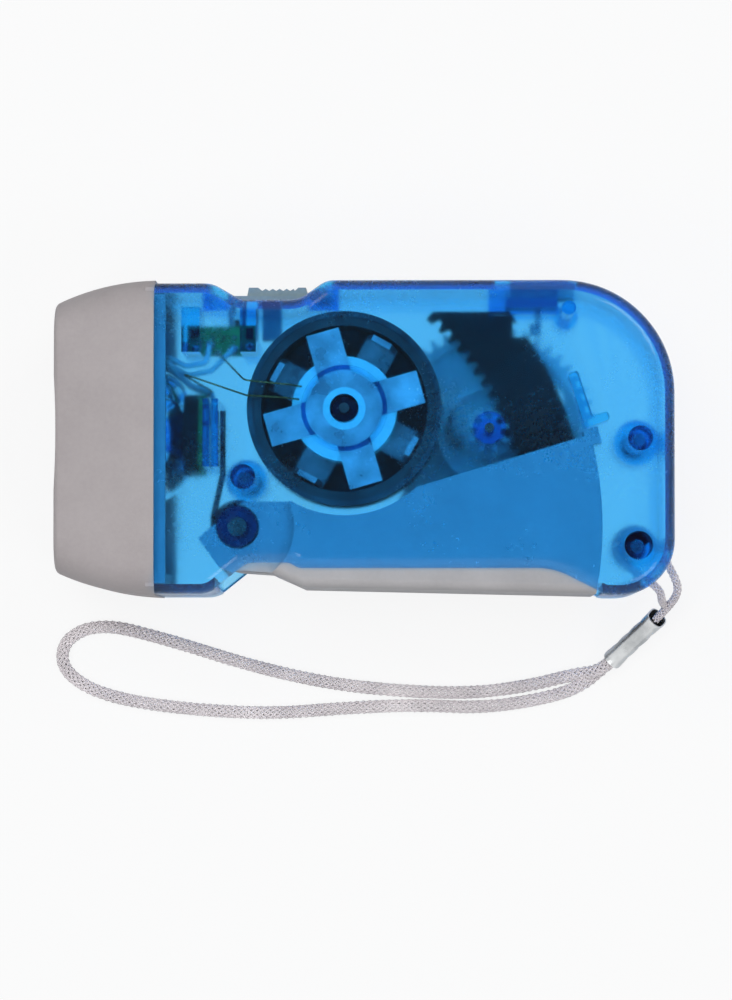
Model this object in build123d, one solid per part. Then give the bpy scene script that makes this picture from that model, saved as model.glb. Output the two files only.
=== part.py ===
from build123d import *
import math
import os

# Squeeze-lever dynamo torch, lying on its right side. Millimetres.
# +X runs from the lamp to the rear end, +Y from the lever to the switch, +Z from the right shell to the left.
# The origin is the middle of the resting face.

# --- driving dimensions -------------------------------------------------------------------------------
LENGTH = 105.0
DEPTH = 38.0
FRONT_X = -LENGTH / 2
REAR_X = LENGTH / 2
NECK_X = -35.3              # where the lamp head meets the case
TOP_Y = 26.5
CHIN_Y = -26.6
HEEL_Y = -26.8
GRIP_Y = -22.4              # lower edge of the case above the lever
SCOOP_Y = 23.2              # lowest edge of the scoop in front of the thumb switch
WALL = 1.8
EDGE = 2.8                  # rounding of the case's long edges
MID_Z = DEPTH / 2
LEFT_IN = DEPTH - WALL      # inner face of the left shell
SLIP = 0.05                 # radial clearance of a running fit
GAP = 0.3

MODULE = 0.75
PRESSURE_DEG = 20.0
RACK_TEETH = 130            # the sector is cut from a ring of this many teeth
RACK_PINION_TEETH = 8
DRIVE_TEETH = 49
ROTOR_TEETH = 17
BACKLASH_SHARE = 0.13       # part of the pitch that each tooth is thinned by

PIVOT = Vector(-21.4, -15.2)
ROTOR = Vector(-3.3, 4.8)
PIVOT_PIN_R = 1.6
PIVOT_BOSS_R = 3.4
ROTOR_AXLE_R = 0.85
GEAR_AXLE_R = 0.8

LEVER_Z = (2.6, 35.4)
HUB_Z = (8.0, 24.6)
HUB_PLATE_Z = (31.6, 33.2)      # cover plate over the spring
LEVER_REAR_R = 61.7         # the lever's rear end is an arc about its pivot
RACK_Z = (16.5, 20.5)
RACK_OUT_R = 59.5
GEAR_Z = (10.0, 13.0)
ROTOR_PINION_Z = (9.6, 14.6)
CUP_Z = (20.6, 34.6)
CUP_R = 16.5
CLAW_Z = 33.4               # underside of the front claw plate
CLAW_T = 1.0
CLAW_R = 13.5
CLAW_W = 5.7

SCREWS = [Vector(-20.4, -6.8), Vector(46.7, -0.3)]
STRAP_POST = Vector(46.35, -18.4)
STRAP_POST_R = 2.4
STRAP_Z = MID_Z
LAMP_Y = 1.0

CORD_R = 1.05               # long loop of the wrist strap
SHORT_CORD_R = 0.75         # the same braid seen on edge in the short loop


def between(a, radius_a, b, radius_b):
    """The point at the given distances from a and b, on the right of the line from a to b."""
    span = b - a
    along = (radius_a**2 - radius_b**2 + span.length**2) / (2 * span.length)
    aside = math.sqrt(radius_a**2 - along**2)
    unit = span.normalized()
    return a + unit * along + Vector(unit.Y, -unit.X) * aside


RACK_CENTRES = MODULE * (RACK_TEETH - RACK_PINION_TEETH) / 2
GEAR_CENTRES = MODULE * (DRIVE_TEETH + ROTOR_TEETH) / 2
GEAR = between(PIVOT, RACK_CENTRES, ROTOR, GEAR_CENTRES)


# --- helpers ------------------------------------------------------------------------------------------
def save(name, *solids):
    """Write one node, which is one solid or a group of alike ones."""
    shape = solids[0] if len(solids) == 1 else Compound(children=list(solids))
    export_step(shape, f"parts/{name}.step")


def disc(centre, radius, z0, z1):
    """An upright cylinder between two heights."""
    standing = (Align.CENTER, Align.CENTER, Align.MIN)
    return Pos(centre.X, centre.Y, z0) * Cylinder(radius, z1 - z0, align=standing)


def ring(centre, outer, inner, z0, z1):
    """An upright tube between two heights."""
    return disc(centre, outer, z0, z1) - disc(centre, inner, z0 - 1, z1 + 1)


def slab(x, y, z):
    """A box from three (low, high) pairs."""
    box = Box(x[1] - x[0], y[1] - y[0], z[1] - z[0], align=(Align.MIN,) * 3)
    return Pos(x[0], y[0], z[0]) * box


def face_of(points):
    """A flat face with straight sides."""
    return make_face(Polyline(*points, close=True))


def rounded_face(corners):
    """A flat face from (x, y, corner radius)."""
    points = [(x, y) for x, y, _ in corners]
    radii = [r for _, _, r in corners]
    return make_face(FilletPolyline(*points, radius=radii, close=True))


def prism(face, z0, z1):
    """A flat face raised between two heights."""
    return Pos(0, 0, z0) * extrude(face, amount=z1 - z0)


def circle_at(centre, radius):
    return Pos(centre.X, centre.Y) * Circle(radius)


def lying(radius, x0, x1, y, z):
    """A round bar along X."""
    bar = Cylinder(radius, x1 - x0, align=(Align.CENTER, Align.CENTER, Align.MIN))
    return Pos(x0, y, z) * Rot(0, 90, 0) * bar


def polar(centre, radius, degrees):
    a = math.radians(degrees)
    return (centre.X + radius * math.cos(a), centre.Y + radius * math.sin(a))


def bearing(a, b):
    """Direction from a to b in degrees."""
    return math.degrees(math.atan2(b.Y - a.Y, b.X - a.X))


# --- gears --------------------------------------------------------------------------------------------
def involute(angle):
    return math.tan(angle) - angle


def half_tooth_deg(teeth, radius, inner_gear=False):
    """Half the angle of an involute tooth, or of a ring gear's gap, at a radius."""
    pressure = math.radians(PRESSURE_DEG)
    base = MODULE * teeth * math.cos(pressure) / 2
    here = math.acos(min(1.0, base / radius))
    share = 0.5 + BACKLASH_SHARE if inner_gear else 0.5 - BACKLASH_SHARE
    at_pitch = math.pi * share / teeth
    return math.degrees(at_pitch + involute(pressure) - involute(here))


def spur_face(teeth, centre, tip_add, root_cut, turned_deg):
    """A spur gear's outline: a tooth stands at turned_deg."""
    pitch = MODULE * teeth / 2
    radii = [pitch - root_cut * MODULE, pitch - 0.35 * MODULE, pitch + 0.3 * MODULE, pitch + tip_add * MODULE]
    points = []
    for n in range(teeth):
        middle = turned_deg + 360 * n / teeth
        points += [polar(centre, r, middle - half_tooth_deg(teeth, r)) for r in radii]
        points += [polar(centre, r, middle + half_tooth_deg(teeth, r)) for r in reversed(radii)]
    return face_of(points)


def ring_gear_edge(centre, tip_r, root_r, gap_deg, first, last):
    """Points along the toothed inner edge of the sector; a gap lies at gap_deg."""
    points = []
    middle_r = (tip_r + root_r) / 2
    for n in range(first, last + 1):
        middle = gap_deg + 360 * n / RACK_TEETH
        half = [half_tooth_deg(RACK_TEETH, r, True) for r in (tip_r, middle_r, root_r)]
        points += [polar(centre, r, middle - h) for r, h in zip((tip_r, middle_r, root_r), half)]
        points += [polar(centre, r, middle + h) for r, h in zip((root_r, middle_r, tip_r), reversed(half))]
    return points


# --- case ---------------------------------------------------------------------------------------------
def case_face(front_x):
    """Side view of the case; front_x lets the cavity run out at the neck."""
    return rounded_face([
        (front_x, TOP_Y - 0.5, 0), (-25.6, TOP_Y - 0.5, 5), (-20.8, SCOOP_Y, 4), (-11.0, SCOOP_Y, 5),
        (-6.3, TOP_Y, 4), (REAR_X, TOP_Y, 19.1), (REAR_X, HEEL_Y, 9.4), (40.6, HEEL_Y, 4),
        (32.0, GRIP_Y, 12), (-11.0, GRIP_Y, 2), (-12.6, GRIP_Y + 0.9, 2), (-19.6, GRIP_Y + 0.9, 3),
        (-26.0, CHIN_Y, 5), (front_x, CHIN_Y, 0),
    ])


def case_block():
    """The whole case as one rounded solid."""
    block = prism(case_face(NECK_X), 0, DEPTH)
    rims = block.edges().filter_by(lambda e: abs(e.center().Z - MID_Z) > MID_Z - 0.01)
    rims = rims.filter_by(lambda e: e.center().X > NECK_X + 0.01)
    return fillet(rims, EDGE)


def inset(amount):
    return offset(case_face(NECK_X - 6), amount=-amount)


def mouth():
    """Opening in the case's underside that the lever swings out of."""
    return slab((-25.2, 40.3), (-30, -19), (WALL, LEFT_IN))


def strap_slot():
    """Slot through the rear lower corner for the strap."""
    toward = Rot(0, 0, -45) * slab((4, 14), (-2.2, 5.3), (STRAP_Z - 3.0, STRAP_Z + 1.3))
    return Pos(43.1, -17.4, 0) * toward


POCKET_X = (-26.7, -5.4)
POCKET_Z = (12.5, 25.5)
POCKET_FLOOR = 22.9
LOCK_SLOT_X = (22.3, 36.3)
LOCK_SLOT_Z = (15.6, 22.4)


def switch_pocket_walls(block):
    """Tray round the thumb switch, trimmed to the case."""
    tray = slab((POCKET_X[0] - 1, POCKET_X[1] + 1), (POCKET_FLOOR - 0.9, 30),
                (POCKET_Z[0] - 1, POCKET_Z[1] + 1))
    return tray & block


def switch_pocket_hole():
    floor_slot = slab((-26.6, -14.0), (POCKET_FLOOR - 3, POCKET_FLOOR + 1), (16.8, 21.2))
    return slab(POCKET_X, (POCKET_FLOOR, 30), POCKET_Z) + floor_slot


def lock_slot():
    return slab(LOCK_SLOT_X, (23, 30), LOCK_SLOT_Z)


def rib_pair(z0, z1):
    """Two upright ribs that back the lamp holder and brace the spring leg."""
    front = slab((-27.2, -26.1), (-5.1, 6.4), (z0, z1))
    back = slab((-25.7, -24.6), (-5.1, 6.4), (z0, z1))
    return front + back


def board_posts(z0, z1, top):
    """The two posts that clamp the switch board."""
    left = slab((-30.8, -27.7), (14.3, top), (z0, z1))
    right = slab((-20.9, -18.2), (14.3, top), (z0, z1))
    return left + right


def lock_rails(z):
    """Ledge under one side of the lock plate."""
    return slab((21.2, 33.2), (21.4, 22.7), z)


def stop_rib():
    """L-shaped rib that the lever's lug meets when the lever is shut."""
    corners = [(34.5, 10.6, 0.5), (36.1, 11.1, 0.5), (38.6, 3.5, 0.3), (41.2, 4.2, 0.5), (41.6, 2.9, 0.5),
               (37.4, 1.3, 0.3)]
    return prism(rounded_face(corners), 30.0, LEFT_IN + 0.5)


def left_shell(block):
    """Near half: shell, lip, bosses, ribs."""
    shell = block & slab((-40, 60), (-40, 40), (MID_Z, DEPTH + 1))
    shell -= prism(inset(WALL), MID_Z - 1, LEFT_IN)
    lip = prism(inset(0.95), MID_Z - 1.2, MID_Z + 0.5) - prism(inset(WALL), MID_Z - 2, MID_Z + 1)
    lip &= slab((NECK_X, 60), (-40, 40), (0, DEPTH))
    shell += lip
    upper = slab((-40, 60), (-40, 40), (MID_Z, DEPTH + 1))
    shell += switch_pocket_walls(block) & upper
    top = LEFT_IN + 0.5
    for spot in SCREWS:
        shell += disc(spot, 2.1, MID_Z + 0.05, top)
    shell += disc(STRAP_POST, STRAP_POST_R, STRAP_Z - 2, top)
    shell += disc(PIVOT, PIVOT_BOSS_R, HUB_Z[1] + GAP, top)
    shell += disc(GEAR, 2.8, 21.6, top)
    shell += disc(ROTOR, 2.4, 29.6, top)
    shell += ring(ROTOR, 7.3, 6.5, CLAW_Z + CLAW_T, top)
    shell += disc(Vector(34.7, 21.7), 1.2, 15.0, top)
    shell += stop_rib()
    shell += rib_pair(21.0, top)
    shell += board_posts(22.75, top, 21.9)
    shell += lock_rails((23.0, 25.6)) + slab((21.2, 33.2), (21.4, 25.2), (24.2, 25.6))
    shell -= mouth() + switch_pocket_hole() + lock_slot() + strap_slot()
    for spot in SCREWS + [STRAP_POST]:
        shell -= disc(spot, 1.12, 10, 29)
    shell -= disc(PIVOT, PIVOT_PIN_R, 20, 35.2)
    shell -= disc(GEAR, GEAR_AXLE_R, 20, 36.8) + disc(ROTOR, ROTOR_AXLE_R, 20, 36.8)
    return shell


def right_shell(block):
    """Far half, the side the torch lies on."""
    lower = slab((-40, 60), (-40, 40), (-1, MID_Z))
    shell = block & lower
    shell -= prism(inset(WALL), WALL, MID_Z + 1)
    shell -= prism(inset(0.88), MID_Z - 1.3, MID_Z + 1)
    shell += switch_pocket_walls(block) & slab((-40, 60), (-40, 40), (-1, MID_Z - 1.3))
    base = WALL - 0.5
    shell += disc(SCREWS[0], 3.6, base, MID_Z - 0.05)
    shell += disc(SCREWS[1], 3.9, base, MID_Z - 0.05)
    shell += disc(STRAP_POST, 3.9, base, STRAP_Z - 2)
    shell += disc(PIVOT, 3.6, base, HUB_Z[0] - GAP)
    shell += disc(GEAR, 2.8, base, 9.4)
    shell += disc(ROTOR, 2.6, base, 9.2)
    shell += ring(Vector(34.7, 21.7), 2.1, 1.25, base, 14.9)
    shell += rib_pair(base, 17.0)
    shell += board_posts(base, 21.5, 16.9)
    shell += lock_rails((12.4, 15.0)) + slab((21.2, 33.2), (21.4, 25.2), (12.4, 13.8))
    shell -= mouth() + switch_pocket_hole() + lock_slot() + strap_slot()
    for spot in SCREWS + [STRAP_POST]:
        shell -= disc(spot, 1.2, -1, 20) + disc(spot, 2.4, -1, 6.0)
    shell -= disc(PIVOT, PIVOT_PIN_R, 3.2, 20)
    shell -= disc(GEAR, GEAR_AXLE_R, 1.2, 20) + disc(ROTOR, ROTOR_AXLE_R, 1.2, 20)
    return shell


def case_screw(spot):
    """A countersunk-bore pan screw driven from the far side."""
    slot = slab((spot.X - 1.5, spot.X + 1.5), (spot.Y - 0.25, spot.Y + 0.25), (4, 5.2))
    head = disc(spot, 2.2, 4.6, 6.0) - slot
    head -= slab((spot.X - 0.25, spot.X + 0.25), (spot.Y - 1.5, spot.Y + 1.5), (4, 5.2))
    return head + disc(spot, 1.1, 6.0, 27.5)


# --- lamp head ----------------------------------------------------------------------------------------
def head_section(x, height, depth, radius, shift):
    return Pos(x, shift, MID_Z) * Rot(0, 90, 0) * Rot(0, 0, 90) * RectangleRounded(height, depth, radius)


def head_loft(cut):
    """Outer or, with cut, inner form of the head, swelling toward the neck."""
    sections = [
        head_section(FRONT_X + (1.8 if cut else 0), 45.6 - 2 * cut, 33.4 - 2 * cut, 6 - cut / 2, 0),
        head_section(-44.0, 51.4 - 2 * cut, 36.6 - 2 * cut, 6 - cut / 2, 0),
        head_section(NECK_X - 0.1, 53.5 - 2 * cut, 37.6 - 2 * cut, 6 - cut / 2, 0),
    ]
    return loft([s.face() for s in sections])


WINDOW = (34.0, 24.0)


def stadium(x, width, height, depth):
    """A long-hole shaped plate across the lamp axis, from x towards +X."""
    face = Rot(0, 90, 0) * Rot(0, 0, 90) * SlotOverall(width, height)
    return Pos(x, LAMP_Y, MID_Z) * extrude(face, amount=depth)


def head_shroud():
    """Grey lamp head with its window, waisted rim and the spigot that the shells clamp."""
    body = head_loft(0)
    rim = body.edges().filter_by(lambda e: e.center().X < FRONT_X + 0.01)
    body = fillet(rim, 1.3)
    body -= head_loft(1.9)
    body -= stadium(FRONT_X - 1, WINDOW[0], WINDOW[1], 6)
    standing = (Align.CENTER, Align.CENTER, Align.MIN)
    level = (Align.MIN, Align.CENTER, Align.CENTER)
    waist = Pos(FRONT_X - 142.65, 0.8, 0) * Cylinder(143, DEPTH * 2, align=standing)
    body -= waist
    spigot_out = Pos(NECK_X - 1.6, -0.3, MID_Z) * Box(3.4, 48.6, 33.9, align=level)
    spigot_in = Pos(NECK_X - 3, -0.3, MID_Z) * Box(8, 45.6, 31.0, align=level)
    shelf = Pos(NECK_X - 1.6, 0, MID_Z) * Box(1.5, 50.6, 34.6, align=(Align.MIN, Align.CENTER, Align.CENTER))
    body += (spigot_out + shelf) - spigot_in
    return body


def reflector():
    """Bright bell behind the window with a flat front plate."""
    outer = Spline((-31.0, 8.2), (-34.5, 11.2), (-40.5, 12.6), (-48.4, 13.2))
    inner = Spline((-48.4, 12.3), (-40.5, 11.7), (-34.8, 10.3), (-31.8, 7.3))
    wall = make_face([outer, Line(outer @ 1, inner @ 0), inner, Line(inner @ 1, outer @ 0)])
    bell = revolve(wall, axis=Axis.X, revolution_arc=360)
    bell = Pos(0, LAMP_Y, MID_Z) * bell
    plate = stadium(-49.2, WINDOW[0] + 2.4, WINDOW[1] + 4.4, 0.9) - lying(12.3, -50, -48, LAMP_Y, MID_Z)
    return bell + plate


def lens():
    return stadium(-50.5, WINDOW[0] + 2.4, WINDOW[1] + 2.4, 1.1)


LED_CIRCLE = 3.5
LED_ANGLES = [90, 210, 330]


def led_spots():
    return [(LAMP_Y + LED_CIRCLE * math.sin(math.radians(a)), MID_Z + LED_CIRCLE * math.cos(math.radians(a)))
            for a in LED_ANGLES]


def led(y, z):
    """A round 5 mm light-emitting diode with its two leads."""
    body = lying(2.45, -36.6, -32.2, y, z) + Pos(-36.6, y, z) * Sphere(2.45)
    body += lying(2.8, -33.2, -32.2, y, z)
    for side in (-1.27, 1.27):
        body += lying(0.25, -32.2, -28.5, y + side, z)
    return body


def led_holder():
    """Dark block that carries the three lamps."""
    block = lying(7.1, -33.4, -28.6, LAMP_Y, MID_Z)
    for y, z in led_spots():
        block -= lying(2.85, -34, -32.2, y, z)
        for side in (-1.27, 1.27):
            block -= lying(0.3, -34, -28, y + side, z)
    return block


def led_board():
    return lying(7.1, -28.5, -27.4, LAMP_Y, MID_Z)


# --- switch -------------------------------------------------------------------------------------------
KNOB_X = -22.0


def switch_pins():
    """The slide switch's three pins."""
    return [slab((x - 0.3, x + 0.3), (17.4, 18.0), (21.4, 23.4)) for x in (-26.0, -24.2, -22.4)]


def switch_board():
    board = slab((-30.4, -18.6), (14.5, 19.6), (21.5, 22.7))
    for pin in switch_pins():
        board -= pin
    return board


def slide_switch():
    """Sheet-metal case of the slide switch with its pins in the board."""
    case = slab((-27.4, -20.9), (15.2, 18.5), (17.2, 21.5))
    for pin in switch_pins():
        case += pin
    return case


def switch_knob():
    return slab((KNOB_X - 0.5, KNOB_X + 0.5), (18.6, 21.0), (18.2, 20.0))


def switch_slider():
    """Ridged cap, flat plate, guide leg and the fork over the knob."""
    plate = slab((-23.6, -5.9), (POCKET_FLOOR + 0.1, 24.7), (POCKET_Z[0] + 0.25, POCKET_Z[1] - 0.25))
    left, right, base, peak = -20.2, -9.8, 24.6, 26.2
    ridge = [(left, base), (left + 0.3, peak), (left + 1.9, peak)]
    for n in range(5):
        x = left + 2.6 + 1.2 * n
        ridge += [(x, peak - 0.55), (x + 0.6, peak - 0.2)]
    ridge += [(right - 2.2, peak - 0.55), (right - 1.6, peak), (right - 0.3, peak), (right, base)]
    cap = prism(face_of(ridge), POCKET_Z[0] + 1.2, POCKET_Z[1] - 1.2)
    leg = slab((-17.7, -14.4), (17.4, POCKET_FLOOR + 1), (17.2, 20.8))
    fork = slab((KNOB_X - 1.5, KNOB_X - 0.75), (19.4, POCKET_FLOOR + 1), (17.4, 20.6))
    fork += slab((KNOB_X + 0.75, KNOB_X + 1.5), (19.4, POCKET_FLOOR + 1), (17.4, 20.6))
    return plate + cap + leg + fork


def lock_slider():
    """Ridged lock button with a smooth hump and an arm whose foot enters the rack's notch."""
    left, right, base, low, peak = 25.0, 35.9, 24.3, 26.3, 26.8
    outline = [(left, base), (left, low)]
    for n in range(4):
        x = left + 0.3 + 1.4 * n
        outline += [(x, low), (x + 0.35, low + 0.45), (x + 0.7, low)]
    pad = prism(face_of(outline + [(31.0, low), (31.4, peak), (33.4, peak), (right, 25.9), (right, base)]),
                LOCK_SLOT_Z[0] + 0.2, LOCK_SLOT_Z[1] - 0.2)
    plate = slab((24.2, 33.0), (22.8, 24.35), (14.2, 23.8))
    arm = slab((29.3, 30.3), (18.3, 23), (17.4, 19.6))
    foot = slab((28.35, 30.3), (18.3, 20.2), (17.4, 19.6))
    return pad + plate + arm + foot


# --- lever and rack -----------------------------------------------------------------------------------
def lever_side():
    """Side view of the lever's full-width part."""
    blank = face_of([(-19.5, -10.9), (-9.0, -10.9), (9.1, -8.5), (42.0, 1.5), (42.0, -26.6), (-10.5, -25.4),
                     (-16.1, -22.9), (-19.5, -22.7)])
    blank &= circle_at(PIVOT, LEVER_REAR_R)
    return blank - circle_at(ROTOR, CUP_R + 1.6) - circle_at(PIVOT, 9.7)


def trigger_lever():
    """Grip lever: an open channel that straddles the gears, with a narrower hub."""
    body = prism(lever_side(), *LEVER_Z)
    low = body.edges().filter_by(lambda e: abs(e.center().Z - MID_Z) > 15 and e.center().Y < -21)
    body = fillet(low, 1.6)
    hollow = face_of([(-19, 10), (45, 10), (45, -24.6), (-9.9, -23.4), (-15.4, -20.9), (-19, -20.7)])
    hollow = (hollow & circle_at(PIVOT, LEVER_REAR_R - WALL)) - circle_at(PIVOT, 11.5)
    body -= prism(hollow, LEVER_Z[0] + WALL, LEVER_Z[1] - WALL)
    hub = face_of([(-28.1, -17.1), (-25.6, -14.8), (-22.6, -10.9), (-10.6, -10.9), (-10.6, -25.3),
                   (-16.1, -22.9), (-21.8, -22.5), (-24.7, -21.8)])
    hub = (hub + circle_at(PIVOT, 4.5)) - circle_at(ROTOR, CUP_R + 1.6)
    body += prism(hub, *HUB_Z)
    cover = face_of([(-28.1, -17.1), (-26.4, -15.6), (-20.4, -10.9), (-10.6, -10.9), (-10.6, -25.3),
                     (-16.1, -22.9), (-21.8, -22.5), (-24.7, -21.8)])
    cover = cover - circle_at(ROTOR, CUP_R + 1.6) - circle_at(PIVOT, PIVOT_BOSS_R + GAP)
    body += prism(cover, *HUB_PLATE_Z)
    for x in (-1.0, 13.0):
        body += slab((x, x + 1.2), (-24.8, -19.3), (LEVER_Z[0] + 1, LEVER_Z[1] - 1))
    cheek = slab((28.6, 37.4), (-24.8, -7.5), (RACK_Z[0] - 2.1, RACK_Z[1] + 2.1))
    body += cheek - slab((20, 45), (-24.2, 0), (RACK_Z[0] - 0.05, RACK_Z[1] + 0.05))
    lug = face_of([polar(PIVOT, 60.6, 12.9), polar(PIVOT, 63.2, 12.9), polar(PIVOT, 63.2, 15.5),
                   polar(PIVOT, 60.6, 15.5)])
    body += prism(lug, 30.4, LEVER_Z[1])
    body -= slab((-14, -7), (-22.4, -18.4), (HUB_Z[1] - 0.5, 30.5))
    body -= slab((33, 45), (-11.5, 3), (GEAR_Z[0] - 0.9, GEAR_Z[1] + 0.9))
    body -= disc(PIVOT, PIVOT_PIN_R + SLIP, 0, DEPTH)
    for spot in rack_pin_spots():
        body -= disc(spot, 1.0, 10, 30)
    return body


def rack_pin_spots():
    return [Vector(*polar(PIVOT, 55.0, a)) for a in (-3.5, 3.0)]


def sector_rack():
    """Black sector with teeth on its inner edge, a notch for the lock and a tang in the lever."""
    gap_deg = bearing(PIVOT, GEAR)
    tip_r = MODULE * RACK_TEETH / 2 - 0.5 * MODULE
    root_r = MODULE * RACK_TEETH / 2 + 1.35 * MODULE
    edge = ring_gear_edge(PIVOT, tip_r, root_r, gap_deg, -2, 9)
    inner_end = polar(PIVOT, 50.8, -7.5)
    tang_top = polar(PIVOT, 50.8, 13.6)
    outer_low = polar(PIVOT, RACK_OUT_R + 6, -7.5)
    outer_high = polar(PIVOT, RACK_OUT_R + 8, 36)
    blank = face_of([inner_end, tang_top, polar(PIVOT, tip_r, 14.1), *edge, polar(PIVOT, tip_r, 48.6),
                     (15.0, 26.0), outer_high, outer_low])
    blank &= circle_at(PIVOT, RACK_OUT_R)
    blank -= Pos(20, 22.3 + 10) * Rectangle(60, 20)
    blank -= Pos(28.3, 19.25) * Rectangle(5.8, 2.7)
    rack = prism(blank, *RACK_Z)
    for spot in rack_pin_spots():
        rack -= disc(spot, 1.0, 10, 30)
    return rack


def rack_pin(spot):
    return disc(spot, 1.0, RACK_Z[0] - 2.1, RACK_Z[1] + 2.1)


# --- gear train ---------------------------------------------------------------------------------------
def rack_pinion():
    """Eight-tooth pinion driven by the rack, with the ratchet wheel of the one-way clutch."""
    face = spur_face(RACK_PINION_TEETH, GEAR, 0.75, 1.1, bearing(PIVOT, GEAR))
    wheel = []
    for n in range(10):
        wheel += [polar(GEAR, 4.9, 36 * n), polar(GEAR, 4.1, 36 * n + 4)]
    body = prism(face, RACK_Z[0] - 0.2, RACK_Z[1] + 0.4) + prism(face_of(wheel), 13.4, RACK_Z[0] - 0.2)
    return body - disc(GEAR, GEAR_AXLE_R + SLIP, 0, DEPTH)


def drive_gear():
    """Large gear with a recessed web and the cups that hold the clutch pawls."""
    towards = bearing(GEAR, ROTOR)
    body = prism(spur_face(DRIVE_TEETH, GEAR, 0.9, 1.2, towards), *GEAR_Z)
    body -= ring(GEAR, 16.0, 8.6, GEAR_Z[0] + 1.6, GEAR_Z[1] + 1)
    body += ring(GEAR, 8.6, 7.6, GEAR_Z[1] - 0.2, GEAR_Z[1] + 2.6)
    for n in range(3):
        spot = Vector(*polar(GEAR, 12.3, 120 * n + 30))
        body -= disc(spot, 2.6, 0, DEPTH)
    return body - disc(GEAR, GEAR_AXLE_R + SLIP, 0, DEPTH)


def clutch_pawl(turned_deg):
    """A sprung pawl whose tip rides just clear of the ratchet wheel's teeth."""
    outline = [(7.6, -42), (7.6, -20), (6.9, 0), (6.0, 20), (5.1, 30), (5.1, 18), (6.0, -2), (6.6, -20)]
    points = [polar(GEAR, radius, turned_deg + at_deg) for radius, at_deg in outline]
    return prism(face_of(points), GEAR_Z[1] + 0.05, GEAR_Z[1] + 2.4)


def rotor_pinion():
    """Small gear that the drive gear turns, with its collar."""
    turned = bearing(ROTOR, GEAR) + 180 / ROTOR_TEETH
    body = prism(spur_face(ROTOR_TEETH, ROTOR, 0.9, 1.2, turned), *ROTOR_PINION_Z)
    body += disc(ROTOR, 3.2, ROTOR_PINION_Z[1] - 0.1, CUP_Z[0])
    return body - disc(ROTOR, ROTOR_AXLE_R + SLIP, 0, DEPTH)


def flywheel_cup():
    """Rotor cup round the stator."""
    body = disc(ROTOR, CUP_R, *CUP_Z) - disc(ROTOR, CUP_R - 0.9, CUP_Z[0] + 1.5, CUP_Z[1] + 1)
    rim = body.edges().filter_by(GeomType.CIRCLE).group_by(Axis.Z)[0]
    body = fillet(rim.sort_by(SortBy.RADIUS)[-1], 0.6)
    body += disc(ROTOR, 2.1, CUP_Z[0] + 1.4, 29.2)
    return body - disc(ROTOR, ROTOR_AXLE_R + SLIP, 0, DEPTH)


def magnet_ring():
    return ring(ROTOR, CUP_R - 0.9, CLAW_R + 0.6, CUP_Z[0] + 1.5, CUP_Z[1] - 0.3)


# --- stator -------------------------------------------------------------------------------------------
def claw_finger(z0, z1, root_top):
    """A bent pole finger, narrower at its free end."""
    wide, slim = CLAW_W / 2, CLAW_W / 2 - 1.1
    if root_top:
        points = [(-wide, z1), (wide, z1), (slim, z0), (-slim, z0)]
    else:
        points = [(-wide, z0), (wide, z0), (slim, z1), (-slim, z1)]
    face = Plane.YZ.offset(CLAW_R - CLAW_T) * face_of(points)
    return extrude(face, amount=CLAW_T)


def claw(z, first_deg, fingers_down):
    """Stamped steel pole plate: a hub ring and four arms with bent fingers."""
    reach = 8.6
    plate = Cylinder(6.3, CLAW_T, align=(Align.CENTER, Align.CENTER, Align.MIN))
    plate = Pos(0, 0, z) * plate
    for n in range(4):
        arm = slab((0, CLAW_R - 0.1), (-CLAW_W / 2, CLAW_W / 2), (z, z + CLAW_T))
        low = z + CLAW_T - reach if fingers_down else z
        finger = claw_finger(low, low + reach, fingers_down)
        plate += Rot(0, 0, first_deg + 90 * n) * (arm + finger)
    plate -= Cylinder(3.6, DEPTH * 2, align=(Align.CENTER, Align.CENTER, Align.MIN))
    return Pos(ROTOR.X, ROTOR.Y, 0) * plate


FRONT_CLAW_DEG = 16.0
REAR_CLAW_Z = 24.2


def coil_bobbin():
    """Flanged spool that holds the winding between the two pole plates."""
    tube = ring(ROTOR, 3.6, 2.45, REAR_CLAW_Z, CLAW_Z + CLAW_T)
    low = ring(ROTOR, 8.9, 2.45, REAR_CLAW_Z + CLAW_T, REAR_CLAW_Z + CLAW_T + 0.8)
    high = ring(ROTOR, 8.9, 2.45, CLAW_Z - 0.8, CLAW_Z)
    return tube + low + high


def coil_winding():
    return ring(ROTOR, 8.3, 3.6, REAR_CLAW_Z + CLAW_T + 0.8, CLAW_Z - 0.8)


# --- axles, pins and spring ---------------------------------------------------------------------------
SPRING_WIRE_R = 0.5
SPRING_COIL_R = 4.2
SPRING_TURNS = 3
SPRING_LOW_Z = 25.7
SPRING_PITCH = 1.5


def spring_point(turn):
    """Centre of the spring's wire after a number of turns from its lower end."""
    a = math.radians(-90 - 360 * turn)
    return Vector(PIVOT.X + SPRING_COIL_R * math.cos(a), PIVOT.Y + SPRING_COIL_R * math.sin(a),
                  SPRING_LOW_Z + SPRING_PITCH * turn)


def torsion_spring():
    """Return spring: one wire that runs from the lever round the pivot boss to the rib."""
    total = SPRING_TURNS + 0.25
    helix = Helix(pitch=SPRING_PITCH, height=SPRING_PITCH * total, radius=SPRING_COIL_R, lefthand=True)
    helix = Pos(PIVOT.X, PIVOT.Y, SPRING_LOW_Z) * Rot(0, 0, -90) * helix
    start, end = helix @ 0, helix @ 1
    down, up = helix % 0, helix % 1
    lever_leg = Line(start - down * 13, start)
    rise = Line(end, end + up * 1.8)
    rib_x = -24.6 + SPRING_WIRE_R + 0.1
    knee = Vector(rib_x, -5.6, end.Z + 0.3)
    leg = Line(rise @ 1, knee)
    hook = Line(knee, Vector(rib_x, 4.6, end.Z + 0.3))
    path = Wire([lever_leg, helix.edge(), rise, leg, hook])
    section = Plane(origin=path @ 0, z_dir=path % 0) * Circle(SPRING_WIRE_R)
    return sweep(section, path=path, transition=Transition.RIGHT)


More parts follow.
